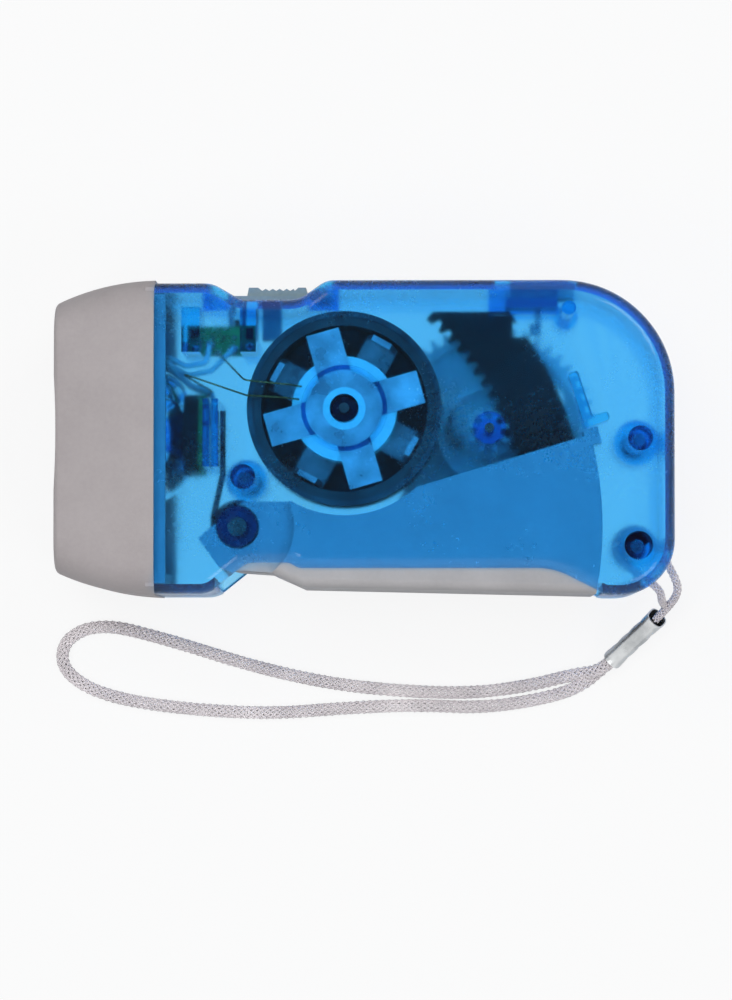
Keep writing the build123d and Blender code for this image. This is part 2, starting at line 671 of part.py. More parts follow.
def spring_gap():
    """Least distance between neighbouring turns of the spring, less the wire."""
    steps = 72
    points = [spring_point(n / steps) for n in range(int((SPRING_TURNS + 0.25) * steps) + 1)]
    least = min((points[a] - points[b]).length for a in range(len(points))
                for b in range(a + steps // 2, len(points)))
    return least - 2 * SPRING_WIRE_R


def washer(centre, z0):
    return ring(centre, 2.0, 1.0, z0, z0 + 0.3)


# --- wires inside -------------------------------------------------------------------------------------
def wire_along(points, radius, bends):
    """A round wire through hand-placed points with rounded bends."""
    path = FilletPolyline(*points, radius=bends)
    section = Plane(origin=path @ 0, z_dir=path % 0) * Circle(radius)
    return sweep(section, path=path)


def lamp_leads():
    """Two insulated wires from the switch board round the bell to the back of the lamp board."""
    first = [(-26.6, 16.4, 22.7), (-26.6, 16.4, 25.0), (-27.0, 13.0, 27.0), (-30.5, 12.4, 27.6),
             (-34.0, 14.4, 27.0), (-33.2, 12.6, 22.6), (-30.0, 9.6, 20.4), (-26.4, 8.6, 19.2),
             (-26.2, 6.0, 19.2), (-27.4, 6.0, 19.2)]
    second = [(-22.6, 15.6, 22.7), (-22.6, 15.6, 24.6), (-26.2, 11.8, 25.2), (-30.2, 11.0, 25.4),
              (-34.0, 13.2, 24.4), (-33.4, 12.4, 20.6), (-30.0, 9.4, 17.8), (-26.4, 8.0, 17.9),
              (-26.0, 3.0, 18.8), (-27.4, 3.0, 18.8)]
    bends = [0.7, 1.2, 1.6, 1.4, 1.2, 1.6, 1.2, 0.5]
    return [wire_along(route, 0.45, bends) for route in (first, second)]


def coil_leads():
    """Two hair-thin wires from the board and the lamp over the cup's rim to the winding."""
    first = [(-25.2, 15.0, 22.7), (-25.2, 15.0, 24.0), (-20.2, 9.6, 34.9), (-12.6, 8.8, 35.3),
             (-10.6, 8.6, 33.4)]
    second = [(-27.4, 7.4, 20.4), (-26.2, 8.4, 24.0), (-31.4, 11.2, 30.0), (-19.8, 7.0, 35.0),
              (-13.2, 6.6, 35.3), (-11.0, 6.4, 33.4)]
    return [wire_along(first, 0.15, [0.8, 1.5, 0.6]), wire_along(second, 0.15, [0.8, 1.2, 2.0, 0.6])]


# --- wrist strap --------------------------------------------------------------------------------------
FERRULE_TOP = Vector(51.2, -31.0, 9.0)
FERRULE_LOW = Vector(43.8, -38.1, 3.2)
FERRULE_SIZE = (2.9, 4.4)
STRAND_OFFSET = 1.1

LONG_LOOP = [
    (36.6, -41.0), (28.1, -43.1), (17.5, -44.4), (4.8, -43.9), (-7.8, -42.4), (-20.5, -39.5),
    (-31.1, -36.1), (-39.6, -33.7), (-45.2, -32.5), (-50.1, -33.0), (-53.6, -35.6), (-53.8, -39.6),
    (-50.4, -42.8), (-45.2, -44.9), (-37.4, -46.4), (-26.9, -47.5), (-16.3, -47.9), (-3.6, -46.9),
    (9.1, -46.4), (19.6, -46.9), (29.2, -45.7), (37.1, -43.6),
]


def corner_radii(points):
    """Largest tangent arc at each inner point of a route."""
    radii = []
    for before, here, after in zip(points, points[1:], points[2:]):
        run_in, run_out = here - before, after - here
        turn = math.radians(run_in.get_angle(run_out))
        radii.append(0.45 * min(run_in.length, run_out.length) / math.tan(turn / 2))
    return radii


def tube_along(name, points, radius):
    """A plain cord along straight runs and tangent arcs, measured against section times length."""
    radii = corner_radii(points)
    path = FilletPolyline(*points, radius=radii)
    section = Plane(origin=path @ 0, z_dir=path % 0) * Circle(radius)
    tube = sweep(section, path=path)
    print(name, "radii", [round(r, 1) for r in radii])
    expected = math.pi * radius**2 * path.length
    print(name, "volume", round(tube.volume, 2), "section x length", round(expected, 2))
    return tube


def ferrule_frame():
    """Axes of the sloping ferrule: along, across and up."""
    along = (FERRULE_LOW - FERRULE_TOP).normalized()
    across = along.cross(Vector(0, 0, 1)).normalized()
    return along, across, across.cross(along)


def strap_ferrule():
    """Crimped sleeve that holds all four strands."""
    along, across, _ = ferrule_frame()
    plane = Plane(origin=FERRULE_TOP, x_dir=across, z_dir=along)
    return extrude(plane * RectangleRounded(*FERRULE_SIZE, 1.2), amount=(FERRULE_LOW - FERRULE_TOP).length)


def strap_anchor_loop():
    """Short loop: from the ferrule through the corner slot, round the screw post and back."""
    toward = Vector(1, -1).normalized()
    aside = Vector(1, 1).normalized()
    along, _, up = ferrule_frame()
    wrap = (STRAP_POST_R + SHORT_CORD_R + 0.1) / math.cos(math.radians(22.5))
    points = [FERRULE_TOP - up * STRAND_OFFSET, FERRULE_TOP - up * STRAND_OFFSET - along * 2.5]
    points += [Vector(51.2, -27.8, 15.0), Vector(50.9, -25.4, STRAP_Z)]
    for degrees in (-67.5, -112.5, -157.5, 157.5, 112.5, 67.5):
        a = math.radians(degrees)
        flat = STRAP_POST + toward * (wrap * math.cos(a)) + aside * (wrap * math.sin(a))
        points.append(Vector(flat.X, flat.Y, STRAP_Z))
    points += [Vector(53.1, -22.8, STRAP_Z), Vector(54.3, -26.0, 16.6)]
    points += [FERRULE_TOP + up * STRAND_OFFSET - along * 2.5, FERRULE_TOP + up * STRAND_OFFSET]
    return tube_along("strap_anchor_loop", points, SHORT_CORD_R)


def wrist_strap():
    """Long loop lying on the surface, both ends in the ferrule."""
    along, _, up = ferrule_frame()
    lie = CORD_R + 0.02
    points = [FERRULE_LOW + up * STRAND_OFFSET, FERRULE_LOW + up * STRAND_OFFSET + along * 3.0]
    points += [Vector(x, y, lie) for x, y in LONG_LOOP]
    points += [FERRULE_LOW - up * STRAND_OFFSET + along * 2.0, FERRULE_LOW - up * STRAND_OFFSET]
    return tube_along("wrist_strap", points, CORD_R)


# --- write every node ---------------------------------------------------------------------------------
def main():
    os.makedirs("parts", exist_ok=True)
    block = case_block()
    save("left_shell", left_shell(block))
    save("right_shell", right_shell(block))
    save("case_screws", *[case_screw(s) for s in SCREWS + [STRAP_POST]])
    save("head_shroud", head_shroud())
    save("lens", lens())
    save("reflector", reflector())
    save("led_holder", led_holder())
    save("led_board", led_board())
    for n, (y, z) in enumerate(led_spots(), 1):
        save(f"led_{n}", led(y, z))
    save("switch_board", switch_board())
    save("slide_switch", slide_switch())
    save("switch_knob", switch_knob())
    save("switch_slider", switch_slider())
    save("lock_slider", lock_slider())
    save("trigger_lever", trigger_lever())
    save("sector_rack", sector_rack())
    save("rack_pins", *[rack_pin(s) for s in rack_pin_spots()])
    save("rack_pinion", rack_pinion())
    save("drive_gear", drive_gear())
    save("clutch_pawls", clutch_pawl(0), clutch_pawl(180))
    save("rotor_pinion", rotor_pinion())
    save("flywheel_cup", flywheel_cup())
    save("magnet_ring", magnet_ring())
    save("stator_front_claw", claw(CLAW_Z, FRONT_CLAW_DEG, True))
    save("stator_rear_claw", claw(REAR_CLAW_Z, FRONT_CLAW_DEG + 45, False))
    save("coil_bobbin", coil_bobbin())
    save("coil_winding", coil_winding())
    save("flywheel_axle", disc(ROTOR, ROTOR_AXLE_R, 1.3, 36.7))
    save("gear_axle", disc(GEAR, GEAR_AXLE_R, 1.3, 36.7))
    save("lever_pivot_pin", disc(PIVOT, PIVOT_PIN_R, 3.3, 35.1))
    save("axle_washers", washer(ROTOR, 9.25), washer(GEAR, 9.5))
    save("torsion_spring", torsion_spring())
    save("lamp_leads", *lamp_leads())
    save("coil_leads", *coil_leads())
    save("strap_ferrule", strap_ferrule())
    save("strap_anchor_loop", strap_anchor_loop())
    save("wrist_strap", wrist_strap())
    print("gear axle at", round(GEAR.X, 2), round(GEAR.Y, 2))
    print("least gap between the spring's turns", round(spring_gap(), 2))


main()
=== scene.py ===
"""Looks of the squeeze-lever dynamo torch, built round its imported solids.

Every length is written in millimetres and turned to metres where Blender takes it.
The torch lies on its side: X runs from lamp to heel, Y from grip to thumb side, Z up.
"""
import logging
import math
from abc import ABC, abstractmethod
from dataclasses import dataclass, field
from enum import Enum
from typing import ClassVar, Iterable, Sequence

import bmesh
import bpy
from mathutils import Matrix, Vector


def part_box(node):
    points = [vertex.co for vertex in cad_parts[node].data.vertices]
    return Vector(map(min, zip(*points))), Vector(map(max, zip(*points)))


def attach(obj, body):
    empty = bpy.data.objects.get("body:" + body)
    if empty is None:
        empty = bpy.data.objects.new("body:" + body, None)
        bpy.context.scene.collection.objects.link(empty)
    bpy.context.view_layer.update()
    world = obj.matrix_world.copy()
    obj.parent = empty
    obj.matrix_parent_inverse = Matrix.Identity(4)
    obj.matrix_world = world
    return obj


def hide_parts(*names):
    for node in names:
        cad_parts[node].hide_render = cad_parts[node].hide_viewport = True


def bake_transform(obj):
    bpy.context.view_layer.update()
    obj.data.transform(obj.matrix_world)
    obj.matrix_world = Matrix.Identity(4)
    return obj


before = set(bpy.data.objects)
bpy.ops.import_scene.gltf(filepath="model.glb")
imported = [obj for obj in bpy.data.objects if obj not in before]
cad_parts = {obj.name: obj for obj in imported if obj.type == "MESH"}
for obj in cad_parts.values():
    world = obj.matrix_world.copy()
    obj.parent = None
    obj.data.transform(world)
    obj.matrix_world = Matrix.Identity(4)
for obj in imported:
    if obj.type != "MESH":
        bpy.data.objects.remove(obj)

LOG = logging.getLogger("torch")
MM = 0.001

Socket = bpy.types.NodeSocket
Point = tuple[float, float, float]


# --- small tools --------------------------------------------------------------------------------------
def metres(point: Sequence[float]) -> Vector:
    """A point in millimetres as a vector in metres."""
    return Vector(point) * MM


def linear(code: str) -> tuple[float, float, float, float]:
    """Turns an sRGB hex colour to Blender's linear one.

    Args:
        code: six hex digits.

    Returns:
        Red, green, blue and an alpha of 1.
    """
    shares = [int(code[i:i + 2], 16) / 255 for i in (0, 2, 4)]
    return (*[s / 12.92 if s <= 0.04045 else ((s + 0.055) / 1.055) ** 2.4 for s in shares], 1.0)


def per_mm(size: float) -> float:
    """Texture scale on Object coordinates, in metres, for grains of this many millimetres."""
    return 1 / (size * MM)


def add(tree: bpy.types.NodeTree, kind: str, values: dict | None = None, links: dict | None = None,
        **settings) -> bpy.types.Node:
    """Adds a node with its settings and links.

    Args:
        tree: the material's node tree.
        kind: the node's type name without the ShaderNode prefix.
        values: input name or number to a constant.
        links: input name or number to the output socket that feeds it.
        settings: the node's own properties.

    Returns:
        The new node.
    """
    node = tree.nodes.new("ShaderNode" + kind)
    for name, value in settings.items():
        setattr(node, name, value)
    for name, value in (values or {}).items():
        node.inputs[name].default_value = value
    for name, source in (links or {}).items():
        tree.links.new(source, node.inputs[name])
    return node


def new_object(name: str, data: bpy.types.ID) -> bpy.types.Object:
    """Puts mesh or curve data into the scene as an object at the origin."""
    made = bpy.data.objects.new(name, data)
    bpy.context.scene.collection.objects.link(made)
    return made


def mesh_object(name: str, shape: bmesh.types.BMesh, smooth_deg: float | None = 35.0) -> bpy.types.Object:
    """Turns a bmesh, in millimetres, into an object in metres.

    Args:
        name: the piece's name.
        shape: its bmesh, freed here.
        smooth_deg: edges sharper than this stay crisp; None leaves every face flat.

    Returns:
        The object, at the origin.
    """
    bmesh.ops.remove_doubles(shape, verts=shape.verts, dist=1e-5)
    bmesh.ops.recalc_face_normals(shape, faces=shape.faces)
    bmesh.ops.scale(shape, vec=(MM, MM, MM), verts=shape.verts)
    data = bpy.data.meshes.new(name)
    shape.to_mesh(data)
    shape.free()
    if smooth_deg is not None:
        data.shade_smooth()
        data.set_sharp_from_angle(angle=math.radians(smooth_deg))
    return new_object(name, data)


def evaluated_mesh(source: bpy.types.Object) -> bpy.types.Mesh:
    """The mesh that a curve or a piece with modifiers gives."""
    graph = bpy.context.evaluated_depsgraph_get()
    return bpy.data.meshes.new_from_object(source.evaluated_get(graph))


def bevel(shape: bmesh.types.BMesh, edges: Iterable, width: float, segments: int = 2) -> None:
    """Rounds edges of a bmesh, in its own units."""
    bmesh.ops.bevel(shape, geom=list(edges), offset=width, offset_type="OFFSET", affect="EDGES",
                    segments=segments, profile=0.5, material=-1)


# --- finishes -----------------------------------------------------------------------------------------
@dataclass(frozen=True)
class Finish(ABC):
    """One real material, as a procedural shader. Subclasses draw its surface."""

    name: str

    def material(self) -> bpy.types.Material:
        """The finish as a material, made once."""
        found = bpy.data.materials.get(self.name)
        if found is not None and found.get("finish_made"):
            return found
        made = bpy.data.materials.new(self.name)
        made["finish_made"] = True
        made.use_nodes = True
        made.node_tree.nodes.clear()
        place = add(made.node_tree, "TexCoord").outputs["Object"]
        links = {"Surface": self.surface(made.node_tree, place), "Volume": self.body(made.node_tree)}
        add(made.node_tree, "OutputMaterial", links={name: out for name, out in links.items() if out})
        return made

    def body(self, tree: bpy.types.NodeTree) -> Socket | None:
        """What fills the material under its surface: nothing, unless a finish says otherwise."""
        return None

    @abstractmethod
    def surface(self, tree: bpy.types.NodeTree, place: Socket) -> Socket:
        """Draws the shader.

        Args:
            tree: the empty node tree.
            place: Object coordinates, in metres.

        Returns:
            The shader's output socket.
        """

    def dress(self, piece: bpy.types.Object, slot: str | None = None) -> None:
        """Gives a piece this finish."""
        piece.data.materials.clear()
        piece.data.materials.append(self.material())


def noise(tree: bpy.types.NodeTree, place: Socket, size: float, detail: float = 3.0,
          rough: float = 0.55) -> Socket:
    """Cloudy noise with grains of about this many millimetres, as a 0 to 1 factor."""
    return add(tree, "TexNoise", {"Scale": per_mm(size), "Detail": detail, "Roughness": rough},
               {"Vector": place}).outputs["Fac"]


def spread(tree: bpy.types.NodeTree, factor: Socket, low: float, high: float,
           source: tuple[float, float] = (0.3, 0.7)) -> Socket:
    """Maps a factor from its source range to low and high, held at the ends."""
    return add(tree, "MapRange", {"From Min": source[0], "From Max": source[1], "To Min": low, "To Max": high},
               {"Value": factor}, clamp=True).outputs["Result"]


def shade(tree: bpy.types.NodeTree, factor: Socket, dark: str, light: str,
          stops: tuple[float, float] = (0.3, 0.7)) -> Socket:
    """Colour between two hex colours by a factor."""
    ramp = add(tree, "ValToRGB", links={"Fac": factor})
    for element, stop, code in zip(ramp.color_ramp.elements, stops, (dark, light)):
        element.position = stop
        element.color = linear(code)
    return ramp.outputs["Color"]


def relief(tree: bpy.types.NodeTree, height: Socket, depth: float, under: Socket | None = None) -> Socket:
    """Bump from a 0 to 1 height over this many millimetres."""
    links = {"Height": height}
    if under is not None:
        links["Normal"] = under
    return add(tree, "Bump", {"Strength": 1.0, "Distance": depth * MM}, links).outputs["Normal"]


@dataclass(frozen=True)
class TintedCase(Finish):
    """Injection-moulded polystyrene, dyed through: glossy outside, frosted inside, so depth blurs."""

    tint: str = "9edcff"
    film: str = "60ccf2"
    dye: str = "00eefe"
    density: float = 200.0
    haze: float = 0.23
    index: float = 1.22

    def body(self, tree: bpy.types.NodeTree) -> Socket:
        """The dye: thick posts and ribs drink up more red and green than the thin wall."""
        return add(tree, "VolumeAbsorption", {"Color": linear(self.dye), "Density": self.density}).outputs[0]

    def surface(self, tree: bpy.types.NodeTree, place: Socket) -> Socket:
        """Tinted glass whose stand-in for lamps lets them reach what is inside."""
        swirl = noise(tree, place, 14, detail=2)
        handling = noise(tree, place, 1.1, detail=4, rough=0.65)
        uneven = add(tree, "Math", links={0: swirl, 1: handling}, operation="MULTIPLY").outputs[0]
        rough = spread(tree, uneven, self.haze * 0.7, self.haze * 1.35, (0.15, 0.4))
        normal = relief(tree, handling, 0.006, relief(tree, swirl, 0.05))
        glass = add(tree, "BsdfPrincipled",
                    {"Base Color": linear(self.tint), "IOR": self.index, "Transmission Weight": 1.0,
                     "Coat Weight": 0.5, "Coat Roughness": 0.04, "Coat IOR": 1.45},
                    {"Roughness": rough, "Normal": normal}).outputs[0]
        clear = add(tree, "BsdfTransparent", {"Color": linear(self.film)}).outputs[0]
        ray = add(tree, "LightPath").outputs["Is Shadow Ray"]
        return add(tree, "MixShader", links={0: ray, 1: glass, 2: clear}).outputs[0]


@dataclass(frozen=True)
class Clear(Finish):
    """Water-clear moulded acrylic or epoxy: sharp gloss, a few hair scratches."""

    tint: str = "f4f8fa"
    index: float = 1.49

    def surface(self, tree: bpy.types.NodeTree, place: Socket) -> Socket:
        """Clear glass that lamps pass."""
        rough = spread(tree, noise(tree, place, 2.5, detail=5), 0.0, 0.06)
        glass = add(tree, "BsdfPrincipled",
                    {"Base Color": linear(self.tint), "IOR": self.index, "Transmission Weight": 1.0},
                    {"Roughness": rough}).outputs[0]
        clear = add(tree, "BsdfTransparent", {"Color": linear(self.tint)}).outputs[0]
        ray = add(tree, "LightPath").outputs["Is Shadow Ray"]
        return add(tree, "MixShader", links={0: ray, 1: glass, 2: clear}).outputs[0]


@dataclass(frozen=True)
class Moulded(Finish):
    """Opaque moulded plastic: spark-eroded grain, slow colour drift, rubbed sheen where it is handled."""

    dark: str
    light: str
    grain: float = 0.22
    depth: float = 0.012
    rough: tuple[float, float] = (0.42, 0.58)
    index: float = 1.5
    glow: float = 0.0

    def surface(self, tree: bpy.types.NodeTree, place: Socket) -> Socket:
        """Grainy plastic with a weak light-scattering body."""
        cloud = noise(tree, place, 9, detail=3)
        specks = noise(tree, place, 0.7, detail=2)
        both = add(tree, "Mix", {0: 0.3}, {2: cloud, 3: specks}, data_type="FLOAT").outputs[0]
        colour = shade(tree, both, self.dark, self.light, (0.32, 0.68))
        fine = add(tree, "TexVoronoi", {"Scale": per_mm(self.grain)}, {"Vector": place}).outputs["Distance"]
        normal = relief(tree, fine, self.depth)
        rough = spread(tree, cloud, *self.rough)
        return add(tree, "BsdfPrincipled",
                   {"IOR": self.index, "Subsurface Weight": self.glow, "Subsurface Scale": 0.0012},
                   {"Base Color": colour, "Roughness": rough, "Normal": normal}).outputs[0]


@dataclass(frozen=True)
class Metal(Finish):
    """Bare or plated metal: fine rolling lines or a dull cast skin, with duller patches of handling."""

    dark: str
    light: str
    rough: tuple[float, float] = (0.18, 0.34)
    lines: Point = (1.0, 1.0, 1.0)
    grain: float = 0.3
    depth: float = 0.004
    metallic: float = 1.0

    def surface(self, tree: bpy.types.NodeTree, place: Socket) -> Socket:
        """Metal with stretched grain."""
        stretched = add(tree, "Mapping", {"Scale": self.lines}, {"Vector": place}).outputs[0]
        grain = noise(tree, stretched, self.grain, detail=4)
        patches = noise(tree, place, 5, detail=3)
        colour = shade(tree, patches, self.dark, self.light)
        return add(tree, "BsdfPrincipled", {"Metallic": self.metallic},
                   {"Base Color": colour, "Roughness": spread(tree, patches, *self.rough),
                    "Normal": relief(tree, grain, self.depth)}).outputs[0]


@dataclass(frozen=True)
class Yarn(Finish):
    """Spun polyester yarn: soft, matt, with fuzz and a slight twist."""

    dark: str = "c3bcc0"
    light: str = "fbf4f6"

    def surface(self, tree: bpy.types.NodeTree, place: Socket) -> Socket:
        """Matt fibre with sheen."""
        fibre = noise(tree, place, 0.12, detail=3)
        cloud = noise(tree, place, 6, detail=2)
        both = add(tree, "Mix", {0: 0.75}, {2: cloud, 3: fibre}, data_type="FLOAT").outputs[0]
        return add(tree, "BsdfPrincipled", {"Roughness": 0.85, "Sheen Weight": 0.35, "Sheen Roughness": 0.5},
                   {"Base Color": shade(tree, both, self.dark, self.light, (0.35, 0.65)),
                    "Normal": relief(tree, fibre, 0.03)}).outputs[0]


@dataclass(frozen=True)
class Laminate(Finish):
    """Green solder resist over glass-cloth laminate: glossy, with the cloth's weave faintly showing."""

    dark: str = "1f7a3e"
    light: str = "43b35f"

    def surface(self, tree: bpy.types.NodeTree, place: Socket) -> Socket:
        """Glossy green with a woven relief."""
        weave = add(tree, "TexChecker", {"Scale": per_mm(0.5)}, {"Vector": place}).outputs["Fac"]
        cloud = noise(tree, place, 3, detail=2)
        return add(tree, "BsdfPrincipled", {"Roughness": 0.28, "IOR": 1.52},
                   {"Base Color": shade(tree, cloud, self.dark, self.light),
                    "Normal": relief(tree, weave, 0.004)}).outputs[0]


BLUE_CASE = TintedCase("tinted polystyrene case")
CLEAR_LENS = Clear("clear acrylic window")
LED_EPOXY = Clear("clear epoxy lamp", tint="e8eef2", index=1.52)
HEAD_GREY = Moulded("grey ABS head", "a29b9c", "aca5a6", grain=0.35, depth=0.012, rough=(0.5, 0.62))
LEVER_GREY = Moulded("grey ABS lever", "a3a1a3", "adabad", rough=(0.38, 0.5))
SLIDER_GREY = Moulded("grey-green ABS buttons", "758a90", "92a3a4", rough=(0.4, 0.55))
BLACK_RACK = Moulded("black acetal rack", "0b0c0e", "1b1d20", rough=(0.3, 0.42))
BLACK_HOLDER = Moulded("black ABS lamp holder", "101113", "232528")
WHITE_NYLON = Moulded("white nylon gears", "c9cdc9", "eceeea", depth=0.004, rough=(0.3, 0.42), glow=0.15)
BOBBIN_NYLON = Moulded("natural nylon bobbin", "d3ebdf", "f4fff9", depth=0.004, rough=(0.3, 0.42), glow=0.1)
PLATED = Metal("zinc-plated steel", "b9bec4", "eef2f6", rough=(0.16, 0.3), lines=(1.0, 6.0, 1.0))
CLAW = Metal("nickel-plated claw steel", "b4babf", "f6f7f8", rough=(0.24, 0.4), lines=(1.0, 6.0, 1.0),
             metallic=0.6)
AXLE = Metal("ground steel axle", "b4b6ba", "e2e4e8", rough=(0.1, 0.22), lines=(1.0, 1.0, 8.0))
SPRING = Metal("oil-tempered spring wire", "4b4d52", "82858b", rough=(0.22, 0.36), lines=(1.0, 1.0, 1.0))
DARK_CUP = Metal("phosphated steel cup", "2b3b41", "4c6167", rough=(0.42, 0.58), metallic=0.6)
FERRITE = Metal("sintered ferrite ring", "252d2e", "3f4a4b", rough=(0.5, 0.7), grain=0.15, depth=0.02,
                metallic=0.2)
CHROME = Metal("vacuum-metallised reflector", "d8dcdf", "f8fafb", rough=(0.03, 0.09), depth=0.001)
COPPER = Metal("enamelled copper wire", "a9602c", "dd9a5c", rough=(0.2, 0.32), metallic=0.8)
FERRULE_METAL = Metal("crimped tinplate sleeve", "b3b6b8", "e9ebec", rough=(0.2, 0.38), lines=(4.0, 4.0, 1.0))
SOLDER = Metal("tin solder", "b5b8bb", "e6e8ea", rough=(0.15, 0.3), grain=0.6, depth=0.03)
INSULATION = Moulded("white PVC insulation", "c9d2cc", "eef3ee", depth=0.002, rough=(0.35, 0.45))
LAMINATE = Laminate("green circuit laminate")
BRAID = Yarn("braided polyester cord")


# --- CAD nodes that keep their shape ------------------------------------------------------------------
@dataclass
class CarriedNodes:
    """CAD solids whose shape is right: each gets its finish."""

    finishes: dict[Finish, list[str]] = field(default_factory=lambda: {
        BLUE_CASE: ["left_shell", "right_shell"],
        HEAD_GREY: ["head_shroud"],
        CLEAR_LENS: ["lens"],
        CHROME: ["reflector"],
        BLACK_HOLDER: ["led_holder", "switch_knob"],
        LAMINATE: ["led_board", "switch_board"],
        LED_EPOXY: ["led_1", "led_2", "led_3"],
        PLATED: ["slide_switch", "case_screws"],
        CLAW: ["stator_front_claw", "stator_rear_claw"],
        SLIDER_GREY: ["switch_slider", "lock_slider"],
        LEVER_GREY: ["trigger_lever"],
        BLACK_RACK: ["sector_rack"],
        AXLE: ["rack_pins", "flywheel_axle", "gear_axle", "lever_pivot_pin", "axle_washers"],
        WHITE_NYLON: ["rack_pinion", "drive_gear", "rotor_pinion"],
        BOBBIN_NYLON: ["coil_bobbin"],
        SPRING: ["clutch_pawls"],
        DARK_CUP: ["flywheel_cup"],
        FERRITE: ["magnet_ring"],
        INSULATION: ["lamp_leads"],
        COPPER: ["coil_leads"],
    })

    def dress(self) -> None:
        """Assigns every carried node's finish."""
        for finish, names in self.finishes.items():
            for name in names:
                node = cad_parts[name]
                node.data.materials.clear()
                node.data.materials.append(finish.material())
                LOG.info("%s: %s", name, finish.name)


# --- wound coil ---------------------------------------------------------------------------------------
@dataclass
class WoundCoil:
    """Copper winding on the bobbin, each turn of the outer layer as its own ridge."""

    wire: float = 0.24
    steps: int = 72

    def build(self) -> bpy.types.Object:
        """Spins the outer layer's scalloped outline about the rotor's axis."""
        low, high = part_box("coil_winding")
        centre = (low + high) / 2 / MM
        outer = (high.x - low.x) / 2 / MM
        inner = outer - 2.6
        bottom, top = low.z / MM, high.z / MM
        turns = int((top - bottom) / self.wire)
        shape = bmesh.new()
        outline = [shape.verts.new((inner, 0, bottom))]
        for turn in range(turns):
            for share, proud in ((0.0, 0.6), (0.5, 0.0)):
                z = bottom + (turn + share) * (top - bottom) / turns
                outline.append(shape.verts.new((outer - proud * self.wire, 0, z)))
        outline.append(shape.verts.new((outer - 0.6 * self.wire, 0, top)))
        outline.append(shape.verts.new((inner, 0, top)))
        edges = [shape.edges.new(pair) for pair in zip(outline, outline[1:] + outline[:1])]
        bmesh.ops.spin(shape, geom=outline + edges, cent=(0, 0, 0), axis=(0, 0, 1), angle=math.tau,
                       steps=self.steps, use_merge=True)
        bmesh.ops.translate(shape, verts=shape.verts, vec=(centre.x, centre.y, 0))
        coil = mesh_object("wound_coil", shape, 60)
        COPPER.dress(coil, "enamelled_copper")
        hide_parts("coil_winding")
        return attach(coil, "housing")


# --- return spring ------------------------------------------------------------------------------------
@dataclass
class ReturnSpring:
    """The lever's torsion spring: a low leg along the lever, a coil round the pivot and a leg that stays on the
    rib.
    """

    pivot: tuple[float, float] = (-21.4, -15.2)
    coil_radius: float = 4.2
    wire_radius: float = 0.5
    low: float = 25.7
    pitch: float = 1.5
    turns: float = 3.25
    steps: int = 48
    leg: float = 12.98
    leg_drop: float = 0.74
    rib_x: float = -24.0
    rib_top: float = 4.6

    def line(self) -> list[Vector]:
        """Points along the wire, from the lever's leg round the coil to the rib."""
        x, y = self.pivot
        high = self.low + self.pitch * self.turns
        points = [Vector((x + self.leg - self.leg * n / 8, y - self.coil_radius,
                          self.low - self.leg_drop + self.leg_drop * n / 8))
                  for n in range(8)]
        for n in range(int(self.turns * self.steps) + 1):
            turn = math.radians(-90 - 360 * n / self.steps)
            points.append(Vector((x + self.coil_radius * math.cos(turn),
                                  y + self.coil_radius * math.sin(turn),
                                  self.low + self.pitch * n / self.steps)))
        points += [Vector((x - self.coil_radius, y + 1.8, high + 0.1)),
                   Vector((self.rib_x, -6.2, high + 0.28)), Vector((self.rib_x, -5.0, high + 0.3)),
                   Vector((self.rib_x, self.rib_top, high + 0.3))]
        return points

    def build(self) -> bpy.types.Object:
        """A round wire, blended from the lever to the case along its coil's height."""
        points = self.line()
        data = bpy.data.curves.new("return_spring_wire", "CURVE")
        data.dimensions = "3D"
        data.bevel_depth = self.wire_radius * MM
        data.bevel_resolution = 4
        data.use_fill_caps = True
        spline = data.splines.new("POLY")
        spline.points.add(len(points) - 1)
        for control, point in zip(spline.points, points):
            control.co = (*metres(point), 1.0)
        wire = new_object("return_spring_wire", data)
        mesh = evaluated_mesh(wire)
        bpy.data.objects.remove(wire)
        mesh.shade_smooth()
        mesh.name = "return_spring"
        made = new_object("return_spring", mesh)
        SPRING.dress(made, "spring_steel")
        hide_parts("torsion_spring")
        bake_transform(made)
        return made


# --- small electrical work ----------------------------------------------------------------------------
class Part(Enum):
    """Surface-mounted parts, with their length, width and height in millimetres."""

    RESISTOR = (2.0, 1.25, 0.5)
    DIODE = (1.8, 1.2, 0.7)


